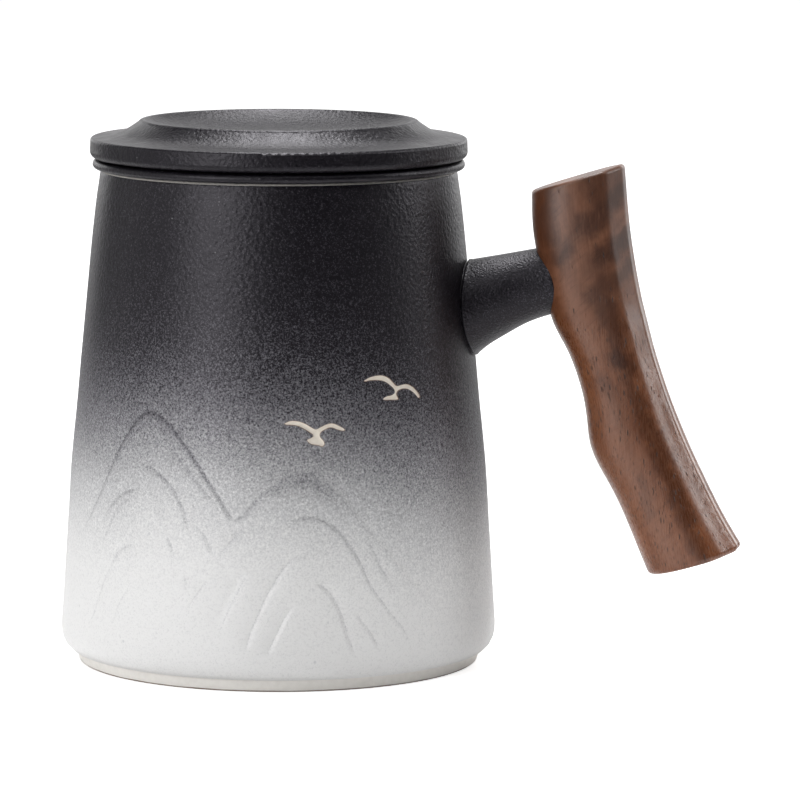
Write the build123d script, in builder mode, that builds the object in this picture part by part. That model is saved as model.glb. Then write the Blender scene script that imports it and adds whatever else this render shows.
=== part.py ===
"""Lidded tea mug with a lift-out strainer basket and a wooden grip.

Millimetres, +Z up. The origin is on the mug's axis, in the plane of the foot
ring, and the grip stands out along +X. The mug is a slightly barrelled cone on
a recessed foot. A strainer basket hangs in its mouth by a round-edged flange,
and the lid sits on that flange, centred by a ring under its plate. A flared
stub on the side of the mug carries the grip, which is bored across the grain
to take the stub's end and is held by a dowel and a bed of resin.
"""
from build123d import *
import math
import os

os.makedirs("parts", exist_ok=True)

# ---------------------------------------------------------------- mug
FOOT_R = 44.5          # foot ring, outer radius on the table
FOOT_TOP_R = 45.0      # foot ring, outer radius where it meets the body
FOOT_H = 2.9           # height of the body's lower corner
FOOT_IN_R = 40.5       # inner radius of the foot ring
FOOT_RECESS = 1.5      # depth of the recess inside the ring
CORNER_R = 46.3        # body's lower corner
BELLY_R, BELLY_Z = 48.4, 7.2
BODY_OUTER = [         # outer wall, radius and height, above the belly
    (48.0, 14.0), (47.1, 28.0), (46.05, 44.0), (44.67, 57.8),
    (43.0, 75.7), (41.33, 93.5), (40.33, 102.3), (39.6, 107.2),
]
RIM_Z = 109.45         # top of the mug's rim
RIM_OUT_R = 38.6       # flat land on the rim, outer and inner radius
RIM_IN_R = 37.0
MOUTH_R = 36.3         # mouth of the mug, inner radius
FLOOR_Z = 5.6          # inside floor
BODY_INNER = [         # inner wall, radius and height, below the mouth
    (36.3, 108.55), (37.0, 101.5), (39.5, 76.0), (41.3, 57.0),
    (42.8, 42.0), (43.9, 27.0), (44.3, 16.0),
]
FLOOR_FILLET_R = 38.0  # radius at which the floor starts to turn up

# ---------------------------------------------------------------- basket
FLANGE_R = 41.1
FLANGE_T = 2.25
FLANGE_EDGE = 1.25     # round on both edges of the flange
LID_SEAT_R = 38.4      # flat ring on the flange that carries the lid, outer radius
SEAT_STEP = 0.35       # the flange is this much lower outside that ring
BASKET_TOP_R = 35.3    # outer wall under the flange
BASKET_LOW_R = 32.6    # outer wall above the bottom round
BASKET_WALL = 2.3
BASKET_BOTTOM_Z = 50.0
BASKET_ROUND = 9.0     # outer round between wall and bottom
DRAIN_R = 1.05         # drain holes
DRAIN_RINGS = [(0.0, 1), (6.0, 6), (12.0, 12), (18.0, 18)]
WALL_ROWS = [64.0, 72.0]
WALL_HOLES = 20

# ---------------------------------------------------------------- lid
LID_R = 41.7
LID_Z = RIM_Z + FLANGE_T      # underside of the plate
LID_EDGE_Z = LID_Z + 4.45     # top corner of the plate's edge
DISH_R = 30.1                 # crest of the raised dish
DISH_Z = 120.1
DISH_DEPTH = 4.2
RING_R = 32.4                 # locating ring
RING_IN_R = 28.4
RING_H = 4.8
LID_CEIL = 1.3                # recess above the plate's underside, inside the ring

# ---------------------------------------------------------------- stub
STUB_O = (43.3, 79.1)         # x and z where the stub's middle meets the body
STUB_TILT = 10.4              # degrees above the horizontal
STUB_SECTIONS = [             # distance along the stub, radius, rise of its centre
    (-5.0, 11.55, -1.1), (-1.1, 10.5, 0.0), (1.9, 9.65, 0.85),
    (6.2, 8.8, 1.70), (11.5, 7.85, 2.62), (16.6, 7.45, 3.05),
]
STUB_FIT_R = 7.45             # radius where the stub enters the grip
STUB_RISE = 3.05
TENON_START = 19.2            # the stub's end is reduced from here on
TENON_R = 7.05
STUB_END = 22.6               # end of the stub, inside the grip
MORTISE_R = 7.55
MORTISE_END = 23.4            # resin fills the mortise round and behind the tenon
DOWEL_R = 3.0
DOWEL_HOLE_R = 3.05
DOWEL_START, DOWEL_END = 12.0, 31.0

# ---------------------------------------------------------------- grip
# Each section joins a point on the inner edge to one on the outer edge, with a
# half depth across the grip.
GRIP_SECTIONS = [
    ((56.10, 108.40), (75.85, 114.00), 9.1),
    ((56.14, 104.84), (76.35, 110.45), 9.3),
    ((56.22, 99.94), (76.80, 105.12), 9.6),
    ((56.81, 94.26), (77.42, 98.50), 9.9),
    ((58.10, 88.16), (78.35, 91.81), 10.0),
    ((59.48, 81.96), (79.47, 85.51), 9.9),
    ((61.17, 75.94), (80.48, 80.77), 9.7),
    ((63.99, 70.60), (81.74, 75.86), 9.5),
    ((66.26, 65.19), (83.16, 70.46), 9.3),
    ((67.90, 59.57), (84.93, 64.88), 9.2),
    ((68.74, 54.36), (86.49, 60.36), 9.3),
    ((69.42, 49.46), (88.16, 56.04), 9.5),
    ((71.20, 44.94), (89.91, 51.86), 9.6),
    ((73.90, 40.18), (92.04, 47.10), 9.6),
    ((76.48, 35.07), (94.53, 41.97), 9.6),
    ((78.87, 29.56), (97.32, 36.41), 9.7),
    ((80.88, 24.73), (100.18, 31.26), 9.8),
    ((82.50, 20.92), (102.95, 26.75), 9.8),
    ((84.05, 17.20), (105.30, 22.90), 9.8),
]
GRIP_SQUARE = 2.35            # exponent of the section's superellipse
GRIP_POINTS = 20
GRIP_PLANED = (0.70, 0.54)    # where the planed flats on the outer corners begin, share of the
GRIP_PLANED_TO = 10           # half width at the first section and from this section down
TOP_CUT = ((66.87, 108.45), 17.05, 1.4)    # point, slope and lean of the top face
BOTTOM_CUT = ((92.62, 23.38), 16.4, 0.0)   # the same for the bottom face
TOP_EDGE = 0.8                # round on the top face
BOTTOM_EDGE = 1.1             # round on the bottom face

# ================================================================ mug body
with BuildPart() as mug_body:
    with BuildSketch(Plane.XZ) as mug_section:
        with BuildLine() as mug_line:
            lower = Line((FOOT_IN_R, 0), (FOOT_R - 0.4, 0))
            chamf = Line(lower @ 1, (FOOT_R, 0.4))
            side = Line(chamf @ 1, (FOOT_TOP_R, FOOT_H))
            step = Line(side @ 1, (CORNER_R, FOOT_H))
            belly = Spline(
                [step @ 1, (47.75, 4.45), (BELLY_R, BELLY_Z)] + BODY_OUTER,
                tangents=[(math.cos(math.radians(32)), math.sin(math.radians(32))), (-0.2, 1)],
                tangent_scalars=[1, 1],
            )
            lip_out = ThreePointArc(belly @ 1, (39.30, 108.82), (RIM_OUT_R, RIM_Z))
            land = Line(lip_out @ 1, (RIM_IN_R, RIM_Z))
            lip_in = ThreePointArc(land @ 1, (36.52, 109.21), BODY_INNER[0])
            inner = Spline(
                BODY_INNER + [(FLOOR_FILLET_R, FLOOR_Z)],
                tangents=[(0.02, -1), (-1, -0.02)],
                tangent_scalars=[1, 1],
            )
            floor = Line(inner @ 1, (0, FLOOR_Z))
            axis_line = Line(floor @ 1, (0, FOOT_RECESS))
            recess = Line(axis_line @ 1, (FOOT_IN_R - 0.6, FOOT_RECESS))
            recess_side = Line(recess @ 1, lower @ 0)
        make_face()
    revolve(axis=Axis.Z)
mug_body.part.label = "mug_body"

# ================================================================ basket
fl_z0, fl_z1 = RIM_Z, RIM_Z + FLANGE_T
with BuildPart() as infuser_basket:
    with BuildSketch(Plane.XZ) as basket_section:
        with BuildLine() as basket_line:
            top = Line((BASKET_TOP_R - BASKET_WALL + 0.7, fl_z1), (LID_SEAT_R, fl_z1))
            seat_side = Line(top @ 1, (LID_SEAT_R + 0.35, fl_z1 - SEAT_STEP))
            ledge = Line(seat_side @ 1, (FLANGE_R - 1.0, fl_z1 - SEAT_STEP))
            edge_round = ThreePointArc(
                ledge @ 1, (FLANGE_R, fl_z0 + 1.05), (FLANGE_R - FLANGE_EDGE, fl_z0)
            )
            under = Line(edge_round @ 1, (BASKET_TOP_R + 0.5, fl_z0))
            neck = ThreePointArc(
                under @ 1, (BASKET_TOP_R + 0.15, fl_z0 - 0.15), (BASKET_TOP_R, fl_z0 - 0.5)
            )
            wall_out = Line(neck @ 1, (BASKET_LOW_R, BASKET_BOTTOM_Z + BASKET_ROUND))
            round_out = ThreePointArc(
                wall_out @ 1,
                (BASKET_LOW_R - BASKET_ROUND * (1 - math.cos(math.radians(45))),
                 BASKET_BOTTOM_Z + BASKET_ROUND * (1 - math.sin(math.radians(45)))),
                (BASKET_LOW_R - BASKET_ROUND, BASKET_BOTTOM_Z),
            )
            base_out = Line(round_out @ 1, (0, BASKET_BOTTOM_Z))
            centre = Line(base_out @ 1, (0, BASKET_BOTTOM_Z + BASKET_WALL))
            base_in = Line(centre @ 1, (BASKET_LOW_R - BASKET_ROUND, BASKET_BOTTOM_Z + BASKET_WALL))
            r_in = BASKET_ROUND - BASKET_WALL
            round_in = ThreePointArc(
                base_in @ 1,
                (BASKET_LOW_R - BASKET_ROUND + r_in * math.sin(math.radians(45)),
                 BASKET_BOTTOM_Z + BASKET_ROUND - r_in * math.cos(math.radians(45))),
                (BASKET_LOW_R - BASKET_WALL, BASKET_BOTTOM_Z + BASKET_ROUND),
            )
            wall_in = Line(round_in @ 1, (BASKET_TOP_R - BASKET_WALL, fl_z1 - 0.8))
            mouth = ThreePointArc(
                wall_in @ 1, (BASKET_TOP_R - BASKET_WALL + 0.22, fl_z1 - 0.24), top @ 0
            )
        make_face()
    revolve(axis=Axis.Z)
    # drain holes through the bottom, in rings
    with BuildSketch(Plane.XY.offset(BASKET_BOTTOM_Z - 1)) as drains:
        for ring_r, n in DRAIN_RINGS:
            if n == 1:
                Circle(DRAIN_R)
            else:
                with PolarLocations(ring_r, n):
                    Circle(DRAIN_R)
    extrude(amount=BASKET_WALL + 2, mode=Mode.SUBTRACT)
    # drain holes through the lower wall, in staggered rows
    for row, z in enumerate(WALL_ROWS):
        for k in range(WALL_HOLES):
            a = math.radians(360 / WALL_HOLES * (k + 0.5 * row))
            radial = Plane(
                origin=(26 * math.cos(a), 26 * math.sin(a), z),
                x_dir=(-math.sin(a), math.cos(a), 0),
                z_dir=(math.cos(a), math.sin(a), 0),
            )
            with BuildSketch(radial):
                Circle(DRAIN_R)
            extrude(amount=11, mode=Mode.SUBTRACT)
infuser_basket.part.label = "infuser_basket"

# ================================================================ lid
with BuildPart() as lid:
    with BuildSketch(Plane.XZ) as lid_section:
        with BuildLine() as lid_line:
            ceil_l = Line((0, LID_Z + LID_CEIL), (RING_IN_R - 1.6, LID_Z + LID_CEIL))
            ceil_r = ThreePointArc(
                ceil_l @ 1,
                (RING_IN_R - 0.45, LID_Z + LID_CEIL - 0.48),
                (RING_IN_R, LID_Z + LID_CEIL - 1.6),
            )
            ring_in = Line(ceil_r @ 1, (RING_IN_R + 0.3, LID_Z - RING_H + 1.2))
            ring_end = ThreePointArc(
                ring_in @ 1,
                ((RING_R + RING_IN_R) / 2 + 0.05, LID_Z - RING_H),
                (RING_R - 0.3, LID_Z - RING_H + 1.2),
            )
            ring_out = Line(ring_end @ 1, (RING_R, LID_Z - 0.4))
            ring_root = ThreePointArc(
                ring_out @ 1, (RING_R + 0.12, LID_Z - 0.12), (RING_R + 0.4, LID_Z)
            )
            under_l = Line(ring_root @ 1, (LID_R - 1.5, LID_Z))
            low_round = ThreePointArc(
                under_l @ 1, (LID_R - 0.43, LID_Z + 0.47), (LID_R, LID_Z + 1.5)
            )
            edge = Line(low_round @ 1, (LID_R - 0.1, LID_EDGE_Z - 0.55))
            top_round = ThreePointArc(
                edge @ 1, (LID_R - 0.27, LID_EDGE_Z - 0.15), (LID_R - 0.75, LID_EDGE_Z + 0.05)
            )
            slope = Spline(
                [top_round @ 1, (37.6, 116.55), (34.6, 117.35), (32.4, 118.60), (31.0, 119.62)],
                tangents=[(-1, 0.06), (-0.72, 0.62)],
                tangent_scalars=[1, 1],
            )
            crest = ThreePointArc(slope @ 1, (30.15, DISH_Z), (29.15, DISH_Z - 0.28))
            dish = Spline(
                [crest @ 1, (24.0, DISH_Z - 2.35), (13.0, DISH_Z - 3.85), (0, DISH_Z - DISH_DEPTH)],
                tangents=[(-0.87, -0.50), (-1, 0)],
                tangent_scalars=[1, 1],
            )
            mid = Line(dish @ 1, ceil_l @ 0)
        make_face()
    revolve(axis=Axis.Z)
lid.part.label = "lid"

# ================================================================ stub
tilt = math.radians(STUB_TILT)
stub_dir = Vector(math.cos(tilt), 0, math.sin(tilt))
stub_up = Vector(-math.sin(tilt), 0, math.cos(tilt))
stub_o = Vector(STUB_O[0], 0, STUB_O[1])


def along_stub(s, rise=0.0):
    """Plane across the stub at distance s, its centre raised by rise."""
    return Plane(origin=stub_o + stub_dir * s + stub_up * rise, x_dir=(0, 1, 0), z_dir=stub_dir)


# Space inside the mug's outer skin, which the stub's root is trimmed against.
with BuildPart() as mug_envelope:
    with BuildSketch(Plane.XZ) as envelope_section:
        with BuildLine():
            skin = Spline(
                [(CORNER_R, FOOT_H), (47.75, 4.45), (BELLY_R, BELLY_Z)] + BODY_OUTER,
                tangents=[(math.cos(math.radians(32)), math.sin(math.radians(32))), (-0.2, 1)],
                tangent_scalars=[1, 1],
            )
            cap = Line(skin @ 1, (0, BODY_OUTER[-1][1]))
            down = Line(cap @ 1, (0, FOOT_H))
            back = Line(down @ 1, skin @ 0)
        make_face()
    revolve(axis=Axis.Z)

with BuildPart() as handle_stub:
    for s, r, rise in STUB_SECTIONS:
        with BuildSketch(along_stub(s, rise)):
            Circle(r)
    loft()
    with BuildSketch(along_stub(STUB_SECTIONS[-1][0], STUB_RISE)):
        Circle(STUB_FIT_R)
    extrude(amount=TENON_START - STUB_SECTIONS[-1][0])
    with BuildSketch(along_stub(TENON_START, STUB_RISE)):
        Circle(TENON_R)
    extrude(amount=STUB_END - TENON_START)
    add(mug_envelope.part, mode=Mode.SUBTRACT)
    with BuildSketch(along_stub(DOWEL_START - 0.4, STUB_RISE)):
        Circle(DOWEL_HOLE_R)
    extrude(amount=STUB_END - DOWEL_START + 2, mode=Mode.SUBTRACT)
handle_stub.part.label = "handle_stub"

# ================================================================ grip
def grip_plane(inner_pt, outer_pt):
    """Plane across the grip through its inner and outer edge points."""
    p = Vector(inner_pt[0], 0, inner_pt[1])
    q = Vector(outer_pt[0], 0, outer_pt[1])
    u = (q - p).normalized()
    return Plane(origin=(p + q) * 0.5, x_dir=u, z_dir=u.cross(Vector(0, 1, 0))), (q - p).length / 2


def end_cut(point, slope, lean):
    """Plane of an end face that rises by slope towards +X and leans towards +Y."""
    a, b = math.radians(slope), math.radians(lean)
    u = Vector(math.cos(a), 0, math.sin(a))
    v = Vector(0, math.cos(b), -math.sin(b))
    return Plane(origin=(point[0], 0, point[1]), x_dir=u, z_dir=u.cross(v))


def superellipse(a, b, n, count):
    """Points round a superellipse of half axes a and b, evenly spaced in angle."""
    pts = []
    for k in range(count):
        t = 2 * math.pi * k / count
        c, s = math.cos(t), math.sin(t)
        pts.append((
            a * math.copysign(abs(c) ** (2 / n), c),
            b * math.copysign(abs(s) ** (2 / n), s),
        ))
    return pts


def planed(a, b, n, count, share):
    """Points round a superellipse whose two outer corners are planed flat from that share of a."""
    def height(s):
        return (1 - s ** n) ** (1 / n)

    end = share + 0.93 * (1 - share)
    slope = (height(end) - height(share)) / (end - share)
    pts = []
    for x, y in superellipse(a, b, n, count):
        if share * a < x < end * a:
            flat = b * (height(share) + slope * (x / a - share))
            y = math.copysign(min(abs(y), flat), y)
        pts.append((x, y))
    return pts


with BuildPart() as wood_handle:
    for k, (inner_pt, outer_pt, half_y) in enumerate(GRIP_SECTIONS):
        plane, half_x = grip_plane(inner_pt, outer_pt)
        t = min(1.0, k / GRIP_PLANED_TO)
        share = GRIP_PLANED[0] + (GRIP_PLANED[1] - GRIP_PLANED[0]) * t
        with BuildSketch(plane):
            with BuildLine():
                Spline(planed(half_x, half_y, GRIP_SQUARE, GRIP_POINTS, share), periodic=True)
            make_face()
    loft()
    top_cut, bottom_cut = end_cut(*TOP_CUT), end_cut(*BOTTOM_CUT)
    split(bisect_by=top_cut, keep=Keep.BOTTOM)
    split(bisect_by=bottom_cut, keep=Keep.TOP)
    ends = wood_handle.faces().filter_by(GeomType.PLANE).sort_by(Axis.Z)
    fillet(ends[-1].edges(), radius=TOP_EDGE)
    ends = wood_handle.faces().filter_by(GeomType.PLANE).sort_by(Axis.Z)
    fillet(ends[0].edges(), radius=BOTTOM_EDGE)
    # mortise for the stub's end, and the deeper bore for the dowel
    with BuildSketch(along_stub(8.0, STUB_RISE)):
        Circle(MORTISE_R)
    extrude(amount=MORTISE_END - 8.0, mode=Mode.SUBTRACT)
    with BuildSketch(along_stub(MORTISE_END - 1, STUB_RISE)):
        Circle(DOWEL_HOLE_R)
    extrude(amount=DOWEL_END + 0.5 - MORTISE_END + 1, mode=Mode.SUBTRACT)
wood_handle.part.label = "wood_handle"

with BuildPart() as handle_dowel:
    with BuildSketch(along_stub(DOWEL_START, STUB_RISE)):
        Circle(DOWEL_R)
    extrude(amount=DOWEL_END - DOWEL_START)
    chamfer(handle_dowel.faces().filter_by(GeomType.PLANE).edges(), length=0.5)
handle_dowel.part.label = "handle_dowel"

with BuildPart() as joint_resin:
    with BuildSketch(along_stub(TENON_START, STUB_RISE)):
        Circle(MORTISE_R)
        Circle(TENON_R, mode=Mode.SUBTRACT)
    extrude(amount=STUB_END - TENON_START)
    with BuildSketch(along_stub(STUB_END, STUB_RISE)):
        Circle(MORTISE_R)
        Circle(DOWEL_HOLE_R, mode=Mode.SUBTRACT)
    extrude(amount=MORTISE_END - STUB_END)
joint_resin.part.label = "joint_resin"

for piece, name in (
    (mug_body, "mug_body"),
    (handle_stub, "handle_stub"),
    (wood_handle, "wood_handle"),
    (handle_dowel, "handle_dowel"),
    (joint_resin, "joint_resin"),
    (infuser_basket, "infuser_basket"),
    (lid, "lid"),
):
    assert piece.part.is_valid, name
    export_step(piece.part, f"parts/{name}.step")
    print(name, "volume", round(piece.part.volume, 1), "solids", len(piece.part.solids()))
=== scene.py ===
import math

import bpy
import numpy as np
from mathutils import Matrix, Vector, geometry


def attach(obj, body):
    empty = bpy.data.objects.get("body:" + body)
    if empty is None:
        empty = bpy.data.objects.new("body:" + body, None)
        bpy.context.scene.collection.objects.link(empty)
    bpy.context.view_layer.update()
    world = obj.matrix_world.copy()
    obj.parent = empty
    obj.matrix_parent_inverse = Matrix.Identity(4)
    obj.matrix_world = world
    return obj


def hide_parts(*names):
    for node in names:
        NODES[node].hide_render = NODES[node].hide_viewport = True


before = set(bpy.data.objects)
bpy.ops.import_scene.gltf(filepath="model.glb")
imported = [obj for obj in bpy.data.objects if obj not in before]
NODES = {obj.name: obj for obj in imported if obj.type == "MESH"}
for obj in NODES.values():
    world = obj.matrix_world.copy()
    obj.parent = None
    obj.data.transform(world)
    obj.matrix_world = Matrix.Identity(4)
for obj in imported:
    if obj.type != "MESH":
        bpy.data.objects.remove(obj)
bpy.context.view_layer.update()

MM = 0.001


# ------------------------------------------------------------------ camera
def make_camera():
    """Long lens at the photograph's height, side and slight roll."""
    dist, elev, azim, roll = 1.1697, math.radians(7.563), math.radians(6.0), math.radians(0.234)
    aim = Vector((0.02695 * math.cos(azim), 0.02695 * math.sin(azim), 0.05771))
    fwd = Vector((-math.sin(azim) * math.cos(elev), math.cos(azim) * math.cos(elev), -math.sin(elev)))
    right = Vector((math.cos(azim), math.sin(azim), 0.0))
    up = right.cross(fwd)
    r2 = right * math.cos(roll) + up * math.sin(roll)
    u2 = up * math.cos(roll) - right * math.sin(roll)
    data = bpy.data.cameras.new("camera")
    data.lens = 236.88
    data.sensor_width = 36.0
    data.clip_start, data.clip_end = 0.05, 50.0
    cam = bpy.data.objects.new("camera", data)
    bpy.context.scene.collection.objects.link(cam)
    m = Matrix((r2, u2, -fwd)).transposed().to_4x4()
    m.translation = aim - fwd * dist
    cam.matrix_world = m
    bpy.context.scene.camera = cam
    return cam


make_camera()


# ------------------------------------------------------------------ small tools
def smooth(a, b, x):
    t = np.clip((np.asarray(x, float) - a) / (b - a), 0.0, 1.0)
    return t * t * (3 - 2 * t)


def catmull(points, step):
    """Points spaced about step apart on a centripetal Catmull-Rom curve through points."""
    p = np.asarray(points, float)
    p = np.vstack([2 * p[0] - p[1], p, 2 * p[-1] - p[-2]])
    out = []
    for i in range(1, len(p) - 2):
        p0, p1, p2, p3 = p[i - 1], p[i], p[i + 1], p[i + 2]
        t0 = 0.0
        t1 = t0 + max(np.linalg.norm(p1 - p0), 1e-6) ** 0.5
        t2 = t1 + max(np.linalg.norm(p2 - p1), 1e-6) ** 0.5
        t3 = t2 + max(np.linalg.norm(p3 - p2), 1e-6) ** 0.5
        t = np.linspace(t1, t2, 13)[:-1, None]
        a1 = (t1 - t) / (t1 - t0) * p0 + (t - t0) / (t1 - t0) * p1
        a2 = (t2 - t) / (t2 - t1) * p1 + (t - t1) / (t2 - t1) * p2
        a3 = (t3 - t) / (t3 - t2) * p2 + (t - t2) / (t3 - t2) * p3
        b1 = (t2 - t) / (t2 - t0) * a1 + (t - t0) / (t2 - t0) * a2
        b2 = (t3 - t) / (t3 - t1) * a2 + (t - t1) / (t3 - t1) * a3
        out.append((t2 - t) / (t2 - t1) * b1 + (t - t1) / (t2 - t1) * b2)
    out = np.vstack(out + [p[-2:-1]])
    return respace(out, step)


def respace(pts, step, closed=False):
    pts = np.asarray(pts, float)
    if closed:
        pts = np.vstack([pts, pts[:1]])
    seg = np.linalg.norm(np.diff(pts, axis=0), axis=1)
    s = np.concatenate([[0], np.cumsum(seg)])
    n = max(2, int(round(s[-1] / step)) + 1)
    q = np.linspace(0, s[-1], n)
    out = np.column_stack([np.interp(q, s, pts[:, k]) for k in range(pts.shape[1])])
    return out[:-1] if closed else out


def make_mesh(name, verts, faces, mats=(), face_mats=None, smooth_faces=True, attributes=None):
    me = bpy.data.meshes.new(name)
    me.from_pydata([tuple(v) for v in verts], [], [tuple(f) for f in faces])
    for m in mats:
        me.materials.append(m)
    if face_mats is not None:
        me.polygons.foreach_set("material_index", np.asarray(face_mats, np.int32))
    me.polygons.foreach_set("use_smooth", [smooth_faces] * len(me.polygons))
    for key, (kind, values) in (attributes or {}).items():
        at = me.attributes.new(key, kind, "POINT")
        values = np.asarray(values, np.float32)
        at.data.foreach_set("value" if kind == "FLOAT" else "vector", values.ravel())
    me.update()
    ob = bpy.data.objects.new(name, me)
    bpy.context.scene.collection.objects.link(ob)
    return ob


# ------------------------------------------------------------------ materials
class Nodes:
    """Short way to write a material's node tree."""

    def __init__(self, name):
        self.mat = bpy.data.materials.new(name)
        self.mat.use_nodes = True
        self.t = self.mat.node_tree
        self.bsdf = next(n for n in self.t.nodes if n.type == "BSDF_PRINCIPLED")

    def link(self, a, b):
        self.t.links.new(a, b)

    def put(self, socket, value):
        if isinstance(value, bpy.types.NodeSocket):
            self.link(value, socket)
        elif value is not None:
            socket.default_value = value

    def coord(self, what="Object"):
        return self.t.nodes.new("ShaderNodeTexCoord").outputs[what]

    def attr(self, name, out="Fac"):
        n = self.t.nodes.new("ShaderNodeAttribute")
        n.attribute_name = name
        return n.outputs[out]

    def mapping(self, vec, scale=(1, 1, 1), loc=(0, 0, 0), rot=(0, 0, 0)):
        n = self.t.nodes.new("ShaderNodeMapping")
        self.link(vec, n.inputs["Vector"])
        n.inputs["Scale"].default_value = scale
        n.inputs["Location"].default_value = loc
        n.inputs["Rotation"].default_value = rot
        return n.outputs["Vector"]

    def noise(self, vec, scale, detail=2.0, rough=0.5, distortion=0.0, out="Fac"):
        n = self.t.nodes.new("ShaderNodeTexNoise")
        self.link(vec, n.inputs["Vector"])
        n.inputs["Scale"].default_value = scale
        n.inputs["Detail"].default_value = detail
        n.inputs["Roughness"].default_value = rough
        n.inputs["Distortion"].default_value = distortion
        return n.outputs[out]

    def voronoi(self, vec, scale, feature="F1", out="Distance", random=1.0, smoothness=0.5):
        n = self.t.nodes.new("ShaderNodeTexVoronoi")
        n.feature = feature
        self.link(vec, n.inputs["Vector"])
        n.inputs["Scale"].default_value = scale
        n.inputs["Randomness"].default_value = random
        if feature == "SMOOTH_F1":
            n.inputs["Smoothness"].default_value = smoothness
        return n.outputs[out]

    def math(self, op, a, b=None, c=None, clamp=False):
        n = self.t.nodes.new("ShaderNodeMath")
        n.operation = op
        n.use_clamp = clamp
        for i, v in enumerate((a, b, c)):
            if v is not None:
                self.put(n.inputs[i], v)
        return n.outputs[0]

    def add(self, a, b): return self.math("ADD", a, b)
    def sub(self, a, b): return self.math("SUBTRACT", a, b)
    def mul(self, a, b): return self.math("MULTIPLY", a, b)

    def ramp(self, fac, lo, hi, out_lo=0.0, out_hi=1.0, kind="SMOOTHSTEP"):
        n = self.t.nodes.new("ShaderNodeMapRange")
        n.interpolation_type = kind
        self.put(n.inputs["Value"], fac)
        n.inputs["From Min"].default_value = lo
        n.inputs["From Max"].default_value = hi
        n.inputs["To Min"].default_value = out_lo
        n.inputs["To Max"].default_value = out_hi
        return n.outputs["Result"]

    def colours(self, fac, stops, kind="LINEAR"):
        n = self.t.nodes.new("ShaderNodeValToRGB")
        n.color_ramp.interpolation = kind
        els = n.color_ramp.elements
        while len(els) < len(stops):
            els.new(0.5)
        for e, (pos, col) in zip(els, stops):
            e.position = pos
            e.color = (*col, 1.0)
        self.put(n.inputs["Fac"], fac)
        return n.outputs["Color"]

    def mix(self, fac, a, b, blend="MIX"):
        n = self.t.nodes.new("ShaderNodeMix")
        n.data_type = "RGBA"
        n.blend_type = blend
        self.put(n.inputs[0], fac)
        ins = [s for s in n.inputs if s.type == "RGBA"]
        for s, v in zip(ins, (a, b)):
            self.put(s, (*v, 1.0) if isinstance(v, tuple) and len(v) == 3 else v)
        return next(o for o in n.outputs if o.type == "RGBA")

    def separate(self, vec):
        n = self.t.nodes.new("ShaderNodeSeparateXYZ")
        self.link(vec, n.inputs[0])
        return n.outputs

    def combine(self, x, y, z):
        n = self.t.nodes.new("ShaderNodeCombineXYZ")
        for s, v in zip(n.inputs, (x, y, z)):
            self.put(s, v)
        return n.outputs[0]

    def bump(self, height, distance, strength=1.0, normal=None):
        n = self.t.nodes.new("ShaderNodeBump")
        n.inputs["Strength"].default_value = strength
        n.inputs["Distance"].default_value = distance
        self.put(n.inputs["Height"], height)
        if normal is not None:
            self.link(normal, n.inputs["Normal"])
        return n.outputs["Normal"]

    def set(self, **kw):
        names = {"color": "Base Color", "rough": "Roughness", "spec": "Specular IOR Level", "ior": "IOR", "normal": "Normal",
                 "tint": "Specular Tint",
                 "coat": "Coat Weight", "coat_rough": "Coat Roughness", "sheen": "Sheen Weight", "sss": "Subsurface Weight"}
        for k, v in kw.items():
            s = self.bsdf.inputs[names[k]]
            self.put(s, (*v, 1.0) if isinstance(v, tuple) and len(v) == 3 else v)
        return self.mat


def centred(n, vec, scale, detail=1.0, rough=0.5):
    return n.sub(n.noise(vec, scale, detail, rough), 0.5)


def peel(n, vec, fine=1.0):
    """Orange-peel height of the matte glaze: cells of about 0.8 mm with a finer grit on them."""
    a = n.noise(vec, 1400.0 * fine, 1.0, 0.5)
    b = n.voronoi(vec, 1000.0 * fine, "SMOOTH_F1", "Distance", 1.0, 0.5)
    c = n.noise(vec, 3400.0 * fine, 1.0, 0.5)
    return n.add(n.add(n.mul(a, 0.8), n.mul(b, 0.6)), n.mul(c, 0.14))


BLACK = (0.0032, 0.0023, 0.0043)
GLAZE_IOR = 1.46
GLAZE_TINT = (0.955, 0.92, 1.0)


def black_grit(n, vec, flecks=1.0, pale=1.0):
    """Black spray with its grain: dark violet-black, paler grains, a few white flecks."""
    grain = n.add(centred(n, vec, 4300.0, 1.0, 0.5), n.mul(centred(n, vec, 2100.0, 1.0, 0.5), 0.8))
    patch = n.ramp(n.noise(vec, 95.0, 2.0, 0.5), 0.35, 0.7, 0.55, 1.25)
    lift = n.ramp(n.mul(grain, patch), 0.03, 0.34, 0.0, 1.0, "LINEAR")
    tone = n.mix(lift, BLACK, (0.030 * pale, 0.027 * pale, 0.034 * pale))
    spot = n.voronoi(vec, 520.0, "F1", "Distance")
    keep = n.ramp(n.noise(vec, 210.0, 1.0, 0.5), 0.56, 0.66)
    return n.mix(n.mul(n.mul(n.ramp(spot, 0.13, 0.05), keep), 0.55 * flecks), tone, (0.30, 0.30, 0.31))


def black_glaze(name, flecks=1.0, rough=0.46, depth=0.00006, fine=1.0, pale=1.0):
    n = Nodes(name)
    vec = n.coord()
    r = n.ramp(n.noise(vec, 240.0, 2.0, 0.55), 0.3, 0.75, rough - 0.04, rough + 0.05, "LINEAR")
    return n.set(color=black_grit(n, vec, flecks, pale), rough=r, normal=n.bump(peel(n, vec, fine), depth), ior=GLAZE_IOR, tint=GLAZE_TINT)


def bare_clay(name, low=(0.86, 0.78, 0.67), high=(0.95, 0.88, 0.78)):
    n = Nodes(name)
    vec = n.coord()
    tone = n.colours(n.noise(vec, 900.0, 3.0, 0.6), [(0.3, low), (0.7, high)])
    return n.set(color=tone, rough=0.72, normal=n.bump(n.noise(vec, 2200.0, 2.0, 0.6), 0.00002))


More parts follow.
